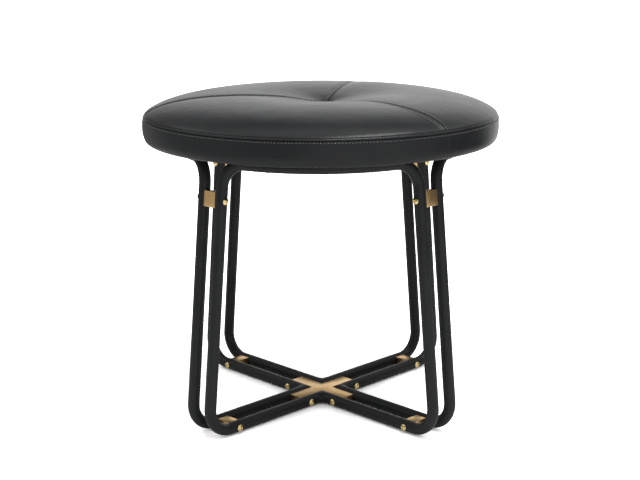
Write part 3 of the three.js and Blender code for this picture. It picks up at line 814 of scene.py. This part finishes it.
def dust_cloth():
    """Cloth under the board, its cut edge rounded, with holes for the screws."""
    edge = 0.2 * MM
    over = 2 * MM
    top = DUST_COVER_BOTTOM + DUST_COVER_THICKNESS
    cloth = turned([(0, DUST_COVER_BOTTOM), (DUST_COVER_RADIUS - edge, DUST_COVER_BOTTOM),
                    (DUST_COVER_RADIUS, DUST_COVER_BOTTOM + edge), (DUST_COVER_RADIUS, top), (0, top)],
                   steps=120)
    holes = []
    for quarter in range(4):
        for angle in (-SEAT_SCREW_SPREAD, SEAT_SCREW_SPREAD):
            turn = Matrix.Rotation(pi / 2 * quarter + angle, 3, "Z")
            start = turn @ Vector((SEAT_RAIL_RADIUS, 0, DUST_COVER_BOTTOM - over))
            holes.append(rod(start, Z_AXIS, SEAT_SCREW_SHANK + FIT_GAP, DUST_COVER_THICKNESS + 2 * over))
    piece("dust_cloth", cut(cloth, holes), DUST_CLOTH, ["dust_cover"])


# Cushion: one closed form around the board. Its stations run from the tuft in the middle of the crown out over
# the rim, down the boxing, under the hem and back over the board.

def ease(share):
    share = min(1, max(0, share))
    return share * share * (3 - 2 * share)


def ridge(distance, height, width):
    """A soft ridge, highest at its line."""
    return height * exp(-(distance / width) ** 2)


def spoke(angle, radius):
    return Vector((radius * cos(angle), radius * sin(angle), 0))


def crown_place(radius, angle):
    """A place on the crown in plan. Its rings are round at the rim and centred on the tuft in the middle."""
    return spoke(angle, radius) + TUFT * max(0, 1 - radius / RIM_SEAM_RADIUS)


def crown_edge(place):
    """One over the middle of the crown, nought at the rim."""
    return 1 - min(1, place.length / RIM_SEAM_RADIUS) ** CROWN_FLATNESS


def crown_height(place):
    """The plain crown's height: a dome with a dimple at the tuft and a low lip round the rim."""
    dome = CROWN_RISE * crown_edge(place) ** CROWN_FULLNESS
    dimple = DIMPLE_DEPTH * exp(-(place - TUFT).length / DIMPLE_REACH) * dome / CROWN_RISE
    return RIM_SEAM_HEIGHT + dome - dimple + ridge(place.length - LIP_RADIUS, LIP_PUFF, LIP_WIDTH)


# Straight seams from the tuft to the rim: their directions, and their topstitched side, -1 for clockwise
SEAM_DIRECTIONS = [(spoke(angle, RIM_SEAM_RADIUS) - TUFT).normalized() for angle in SEAM_ANGLES]
STITCHED_SIDE = (-1, 1, -1)


def seam_distances(place):
    """Distance from each seam on this side of the tuft, positive on its topstitched side."""
    from_tuft = place - TUFT
    for direction, side in zip(SEAM_DIRECTIONS, STITCHED_SIDE):
        if from_tuft.dot(direction) > 0:
            yield side * direction.cross(from_tuft).z


def crown_detail(place):
    """Height over the plain crown: the panels' swell, the grooves at their seams, the folded allowance with its
    two rows of stitches on one side of each, and a plain ridge on the other."""
    edge = crown_edge(place)
    inner = ease((place - TUFT).length / PLEAT_REACH)
    height = swell(place) - SWELL * edge
    for distance in seam_distances(place):
        near = abs(distance)
        height -= ridge(distance, *SEAM_HOLLOW) * edge + ridge(distance, *SEAM_GROOVE) * inner
        if distance > 0:
            fold = FOLD_HEIGHT * ease(near / FOLD_START) * (1 - ease((near - FOLD_WIDTH) / FOLD_EDGE))
            height += (fold - sum(ridge(near - row, *STITCH_DIP) for row in STITCH_ROWS)) * inner
        else:
            height += ridge(near - PLAIN_RIDGE_PLACE, *PLAIN_RIDGE) * inner
    return height


def disc(rows, columns):
    """A flat disc of rows and columns, its rows one apart."""
    bm = spun([(row + 1, 0) for row in range(rows)], columns)
    bmesh.ops.remove_doubles(bm, verts=bm.verts, dist=0.001)
    return bm


def row_and_column(vert, columns):
    row = round(vert.co.to_2d().length) - 1
    return row, round(atan2(vert.co.y, vert.co.x) / (2 * pi) * columns) % columns


def panel_seams(panel):
    """The angles of the seams on a panel's two sides."""
    return (SEAM_ANGLES + [SEAM_ANGLES[0] + 2 * pi])[panel:panel + 2]


def cloth_angle(column):
    panel, place = divmod(column, CLOTH_COLUMNS)
    seam, next_seam = panel_seams(panel)
    return seam + (next_seam - seam) * place / CLOTH_COLUMNS


def swollen_panels():
    """Three panels of leather as cloth, held at the tuft, the seams and the rim, and swollen by the foam under
    them: how far it rises at each of its radii and columns."""
    columns = CLOTH_COLUMNS * len(SEAM_ANGLES)
    bm = disc(len(CLOTH_RADII), columns)
    places = []
    for vert in bm.verts:
        row, column = row_and_column(vert, columns)
        places.append((row, column))
        vert.co = crown_place(CLOTH_RADII[row], cloth_angle(column))
        vert.co.z = crown_height(vert.co) - SWELL * crown_edge(vert.co)
    bmesh.ops.recalc_face_normals(bm, faces=bm.faces)
    panels = placed("panels", bm)
    sewn = panels.vertex_groups.new(name="sewn")
    sewn.add([index for index, (row, column) in enumerate(places)
              if row in (0, len(CLOTH_RADII) - 1) or column % CLOTH_COLUMNS == 0], 1.0, "REPLACE")
    cloth = panels.modifiers.new("cloth", "CLOTH")
    settings = cloth.settings
    settings.vertex_group_mass = sewn.name
    settings.use_pressure = True
    settings.uniform_pressure_force = CLOTH_PRESSURE
    settings.effector_weights.gravity = 0
    settings.bending_stiffness = CLOTH_BENDING
    settings.air_damping = CLOTH_AIR_DAMPING
    cloth.point_cache.frame_start = 1
    cloth.point_cache.frame_end = CLOTH_FRAMES
    for number in range(1, CLOTH_FRAMES + 1):
        bpy.context.scene.frame_set(number)
    shape = panels.evaluated_get(bpy.context.evaluated_depsgraph_get())
    rises = [[0.0] * columns for _ in CLOTH_RADII]
    for (row, column), before, after in zip(places, panels.data.vertices, shape.data.vertices):
        rise = (after.co - before.co).dot(before.normal) / before.normal.z
        rises[row][column] = min(SWELL_LIMIT, rise)
    bpy.context.scene.frame_set(1)
    discard(panels)
    return rises


SWOLLEN = swollen_panels()


def swell(place):
    """How far the cloth rose at a place on the crown, from the radius and angle that crown_place had for it."""
    from_tuft = place - TUFT
    pull = from_tuft.dot(TUFT) / RIM_SEAM_RADIUS
    rest = 1 - (TUFT.length / RIM_SEAM_RADIUS) ** 2
    radius = (pull + sqrt(pull ** 2 + rest * from_tuft.length_squared)) / rest
    if not CLOTH_RADII[0] < radius < CLOTH_RADII[-1]:
        return 0.0
    spoke_end = from_tuft + TUFT * radius / RIM_SEAM_RADIUS
    angle = (atan2(spoke_end.y, spoke_end.x) - SEAM_ANGLES[0]) % (2 * pi) + SEAM_ANGLES[0]
    panel = bisect.bisect(SEAM_ANGLES, angle) - 1
    seam, next_seam = panel_seams(panel)
    column = CLOTH_COLUMNS * (panel + (angle - seam) / (next_seam - seam))
    low = bisect.bisect(CLOTH_RADII, radius) - 1
    out = (radius - CLOTH_RADII[low]) / (CLOTH_RADII[low + 1] - CLOTH_RADII[low])
    aside = column - int(column)
    left = int(column) % len(SWOLLEN[0])
    right = (left + 1) % len(SWOLLEN[0])
    inner_rise, outer_rise = (ring[left] * (1 - aside) + ring[right] * aside for ring in SWOLLEN[low:low + 2])
    return inner_rise + (outer_rise - inner_rise) * out


def boxing_detail(angle, height):
    """How far the boxing's short seams draw it in, and their folded allowance stands out."""
    drawn = 0.0
    for seam, side in zip(SEAM_ANGLES, STITCHED_SIDE):
        turn = (angle - seam + pi) % (2 * pi) - pi
        if abs(turn) < pi / 4:
            distance = side * CUSHION_RADIUS * sin(turn)
            drawn += ridge(distance - BOXING_RIDGE_PLACE, *BOXING_RIDGE) - ridge(distance, *BOXING_GROOVE)
    return drawn * ease((RIM_SEAM_HEIGHT - height) / BOXING_FADE)


# The grid's rows over the crown, closer where it turns fast
CROWN_RADII = [radius * MM for radius in
               (0.001, 2, 4, 6.5, 9, 12, 15.5, 19, 23, 27, 31.5, 36, *range(41, 217, 5), 220.5, 224.5, 228,
                231, 233.8, 236.2, 238.2, 239.8, 241.0, 242.0, 242.8, 243.5)]

# The rim in section, as radius and height over its seam: a rolled lip, a crease, a flat fold, the seam's groove
# and the top of the boxing with its row of stitches
RIM_SECTION = ((244.2, 5.6), (244.8, 5.0), (245.05, 4.7), (244.9, 4.45), (244.5, 4.3), (244.9, 4.15),
               (245.5, 3.75), (246.2, 3.05), (246.75, 2.35), (246.9, 1.75), (246.6, 1.2), (245.2, 0.7),
               (246.1, 0.15), (246.9, -0.35), (247.45, -0.95), (247.3, -1.5), (247.7, -2.1), (248.0, -3.4),
               (248.2, -5.2), (248.35, -8), (248.45, -10.5))
RIM_STITCH_POINT = 15


def side_and_underside():
    """Stations from the rim down: the boxing, its rounded lower edge, the hem, and the recess for the board."""
    points = [(radius * MM, RIM_SEAM_HEIGHT + height * MM) for radius, height in RIM_SECTION]
    for step in range(BOXING_STEPS + 1):
        angle = pi / 2 * step / BOXING_STEPS
        points.append((CUSHION_RADIUS - BOXING_UNDERCUT * (1 - cos(angle)),
                       HEM_BOTTOM + WAIST * (1 - sin(angle))))
    hem_top = HEM_BOTTOM + LEATHER
    wall = BOARD_RADIUS + LEATHER
    ceiling = BOARD_TOP + FIT_GAP
    halfway = 0.6 * wall
    points += [(HEM_EDGE_RADIUS, HEM_BOTTOM), (HEM_INNER_RADIUS, HEM_BOTTOM), (HEM_INNER_RADIUS, hem_top),
               (wall, hem_top), (wall, ceiling), (halfway, ceiling), (0.0, ceiling)]
    return points


SIDE_SECTION = side_and_underside()
LAST_CROWN = len(CROWN_RADII) - 1
ROWS = len(CROWN_RADII) + len(SIDE_SECTION)
HEM_ROW = LAST_CROWN + len(RIM_SECTION) + BOXING_STEPS + 1

# The grid's columns beside each radial seam, by their distance from it, then even to the panel's middle. Where
# the panel is narrow, they close up to a share of its half. Over the board they run straight in from a radius.
BESIDE_SEAM = [distance * MM for distance in
               (0, 0.5, 1.1, 1.9, 2.9, 3.75, 4.4, 5.05, 6.35, 7.65, 8.3, 8.95, 10.4, 12.5, 16, 21, 28)]
BESIDE_SHARE = 0.5
EVEN_COLUMNS = 9
EVEN_WITHIN = 100 * MM
HALF_COLUMNS = len(BESIDE_SEAM) - 1 + EVEN_COLUMNS
COLUMNS = 2 * HALF_COLUMNS * len(SEAM_ANGLES)


def column_angle(column, radius):
    """Where a column of the grid stands at a radius."""
    panel, place = divmod(column, 2 * HALF_COLUMNS)
    seam, next_seam = panel_seams(panel)
    half_panel = (next_seam - seam) / 2
    squeeze = min(1, radius * BESIDE_SHARE * half_panel / BESIDE_SEAM[-1])
    from_seam = min(place, 2 * HALF_COLUMNS - place)
    if from_seam < len(BESIDE_SEAM):
        offset = BESIDE_SEAM[from_seam] * squeeze / radius
    else:
        last = BESIDE_SEAM[-1] * squeeze / radius
        offset = last + (half_panel - last) * (from_seam - len(BESIDE_SEAM) + 1) / EVEN_COLUMNS
    return seam + offset if place <= HALF_COLUMNS else next_seam - offset


def on_crown(place):
    """The leather's surface over a place in plan."""
    return place + Z_AXIS * (crown_height(place) + crown_detail(place))


def on_side(row, angle):
    """A point below the crown by its row, which may lie between two, and its angle."""
    low = min(int(row), ROWS - 2)
    share = row - low
    (radius, height), (next_radius, next_height) = SIDE_SECTION[low - LAST_CROWN - 1:low - LAST_CROWN + 1]
    height += (next_height - height) * share
    radius += (next_radius - radius) * share
    if row <= HEM_ROW:
        radius += boxing_detail(angle, height)
    return spoke(angle, radius) + Z_AXIS * height


def cushion_form():
    """A disc of rows and columns, each point then put in its place."""
    bm = disc(ROWS, COLUMNS)
    for vert in bm.verts:
        row, column = row_and_column(vert, COLUMNS)
        if row <= LAST_CROWN:
            radius = CROWN_RADII[row]
            vert.co = on_crown(crown_place(radius, column_angle(column, radius)))
        else:
            radius = max(SIDE_SECTION[row - LAST_CROWN - 1][0], EVEN_WITHIN)
            vert.co = on_side(row, column_angle(column, radius))
    return tidy_mesh(bm, weld=0.03 * MM)


def leather_cushion():
    cushion = piece("leather_cushion", cushion_form(), HIDE,
                    ["leather_cover", "foam_pad"], sharp=75)
    smoother = cushion.modifiers.new("subdivision", "SUBSURF")
    smoother.levels = smoother.render_levels = 1


def stitch_row(bm, length, skin):
    """A row of stitches of a length: skin gives the leather's point and normal at each share of the row."""
    count = round(length / STITCH_PITCH)
    gap = (1 - STITCH_SHARE) / 2
    for stitch in range(count):
        start, end = (stitch + gap) / count, (stitch + 1 - gap) / count
        middle, normal = skin((start + end) / 2)
        along = (skin(end)[0] - skin(start)[0]).normalized()
        across = normal.cross(along).normalized()
        matrix = axes_at(middle, along * STITCH_SHARE * STITCH_PITCH / 2, across * THREAD_HALF_WIDTH,
                         along.cross(across) * THREAD_HALF_HEIGHT)
        bmesh.ops.create_icosphere(bm, subdivisions=1, radius=1, matrix=matrix)


def radial_stitches():
    length = STITCHED_TO - STITCHED_FROM
    near = 0.5 * MM
    for seam, (direction, side) in enumerate(zip(SEAM_DIRECTIONS, STITCHED_SIDE)):
        across = Z_AXIS.cross(direction)
        bm = bmesh.new()
        for row in STITCH_ROWS:
            start = TUFT + direction * STITCHED_FROM + across * side * row

            def skin(share):
                place = start + direction * length * share
                point = on_crown(place)
                outward = on_crown(place + direction * near) - point
                aside = on_crown(place + across * near) - point
                return point, outward.cross(aside).normalized()

            stitch_row(bm, length, skin)
        piece(f"crown_stitches_{seam + 1}", bm, THREAD, sharp=180)


def rim_stitches():
    row = LAST_CROWN + 1 + RIM_STITCH_POINT

    def skin(share):
        angle = 2 * pi * share
        return on_side(row, angle), spoke(angle, 1)

    bm = bmesh.new()
    stitch_row(bm, 2 * pi * CUSHION_RADIUS, skin)
    piece("rim_stitches", bm, THREAD, sharp=180)


# Studio: a white floor and surroundings that gloss reflects, a soft lamp, and the photograph's camera

def seen_share(tree, *rays):
    """One where rays of the named kinds look at a surface, else nought."""
    path = add(tree, "LightPath")
    share = path.outputs[rays[0]]
    for ray in rays[1:]:
        share = reckon(tree, "MAXIMUM", share, path.outputs[ray])
    return share


def towards(tree, direction, aim):
    """One where a direction points along an aim, less to its sides."""
    return add(tree, "VectorMath", {0: direction, 1: aim}, operation="DOT_PRODUCT").outputs["Value"]


def backdrop_light(tree, direction):
    """How bright the backdrop is in a reflection: white behind the stool, dim round the sides and the front."""
    across = add(tree, "SeparateXYZ", {0: direction}).outputs["X"]
    behind = ramp(tree, towards(tree, direction, BACKDROP_AIM), *BACKDROP)
    left = ramp(tree, across, *LEFT_WALL, "LINEAR")
    front = ramp(tree, towards(tree, direction, FRONT_AIM), *FRONT_WALL)
    return reckon(tree, "ADD", behind, reckon(tree, "ADD", left, front), use_clamp=True)


def studio_light():
    """White all round. Only gloss shows a dimmer front, sides and ceiling, and two high side panels."""
    world = bpy.data.worlds.new("white_studio")
    bpy.context.scene.world = world
    world.use_nodes = True
    tree = world.node_tree
    tree.nodes.clear()
    direction = add(tree, "TexCoord").outputs["Generated"]
    axes = add(tree, "SeparateXYZ", {0: direction}).outputs
    light = reckon(tree, "MINIMUM", ramp(tree, axes["Z"], *CEILING), backdrop_light(tree, direction))
    light = reckon(tree, "MAXIMUM", light, ramp(tree, axes["Z"], *OVERHEAD))
    aside = ramp(tree, reckon(tree, "ABSOLUTE", axes["X"]), *PANEL_ASIDE, "LINEAR")
    panels = reckon(tree, "MULTIPLY", aside, ramp(tree, axes["Z"], *PANEL_HEIGHT, "LINEAR"))
    light = reckon(tree, "MAXIMUM", light, panels)
    white = reckon(tree, "MAXIMUM", light, seen_share(tree, "Is Camera Ray", "Is Transmission Ray"))
    seen = seen_share(tree, "Is Camera Ray", "Is Transmission Ray", "Is Glossy Ray")
    glow = add(tree, "Background", {"Color": hex_colour("#ffffff"), "Strength": STUDIO_GLOW})
    backdrop = add(tree, "Background", {"Color": hex_colour("#ffffff"), "Strength": white})
    both = add(tree, "MixShader", {0: seen, 1: glow.outputs[0], 2: backdrop.outputs[0]})
    add(tree, "OutputWorld", {"Surface": both.outputs[0]})


def studio_paper():
    """White paper: the eye sees it fully exposed, down to the soft shadows under the tubes. Far from the stool,
    gloss sees the backdrop in it."""
    finish, tree = new_finish("white_studio_floor")
    place = add(tree, "TexCoord").outputs["Object"]
    distance = add(tree, "VectorMath", {0: place}, operation="LENGTH").outputs["Value"]
    direction = add(tree, "VectorMath", {0: place}, operation="NORMALIZE").outputs["Vector"]
    matt = add(tree, "BsdfDiffuse", {"Color": hex_colour("#f4f4f4")})
    lit = add(tree, "Emission", {"Color": hex_colour("#ffffff"), "Strength": backdrop_light(tree, direction)})
    far = ramp(tree, distance, *PAPER_REACH)
    gloss = reckon(tree, "MULTIPLY", seen_share(tree, "Is Glossy Ray"), far)
    mirrored = add(tree, "MixShader", {0: gloss, 1: matt.outputs[0], 2: lit.outputs[0]})
    bright = add(tree, "BsdfDiffuse", {"Color": [PAPER_EXPOSURE] * 3 + [1.0]})
    eye = seen_share(tree, "Is Camera Ray", "Is Transmission Ray")
    both = add(tree, "MixShader", {0: eye, 1: mirrored.outputs[0], 2: bright.outputs[0]})
    add(tree, "OutputMaterial", {"Surface": both.outputs[0]})
    return finish


def studio_floor():
    bm = bmesh.new()
    bmesh.ops.create_circle(bm, cap_ends=True, segments=96, radius=FLOOR_RADIUS)
    floor = placed("studio_floor", bm)
    floor.data.materials.append(studio_paper())


def soft_lamp(name, place, aim, width, depth, watts):
    data = bpy.data.lights.new(name, "AREA")
    data.shape = "ELLIPSE"
    data.size = width
    data.size_y = depth
    data.energy = watts
    lamp = bpy.data.objects.new(name, data)
    lamp.location = place
    lamp.rotation_euler = (Vector(aim) - Vector(place)).to_track_quat("-Z", "Y").to_euler()
    bpy.context.scene.collection.objects.link(lamp)


def camera():
    data = bpy.data.cameras.new("camera")
    data.lens = CAMERA_LENS
    data.sensor_width = CAMERA_FILM
    data.shift_y = CAMERA_SHIFT
    eye = bpy.data.objects.new("camera", data)
    eye.location = CAMERA_PLACE
    eye.rotation_mode = "QUATERNION"
    aim = (CAMERA_TARGET - CAMERA_PLACE).to_track_quat("-Z", "Y")
    eye.rotation_quaternion = aim @ Quaternion((0, 0, 1), CAMERA_ROLL)
    bpy.context.scene.collection.objects.link(eye)
    bpy.context.scene.camera = eye


camera()
steel_loops()
brass_work()
tube_screws()
board_screws()
nylon_glides()
dust_cloth()
leather_cushion()
radial_stitches()
rim_stitches()
for node, finish in (("seat_board", PLYWOOD), ("tuft_tie", TWINE)):
    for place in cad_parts[node].material_slots:
        place.material = finish
studio_light()
studio_floor()
soft_lamp("overhead_softbox", place=(0.6, -0.3, 2.9), aim=(0, 0, 0.3), width=2.5, depth=0.6, watts=38)
bpy.context.scene.view_settings.view_transform = "Standard"
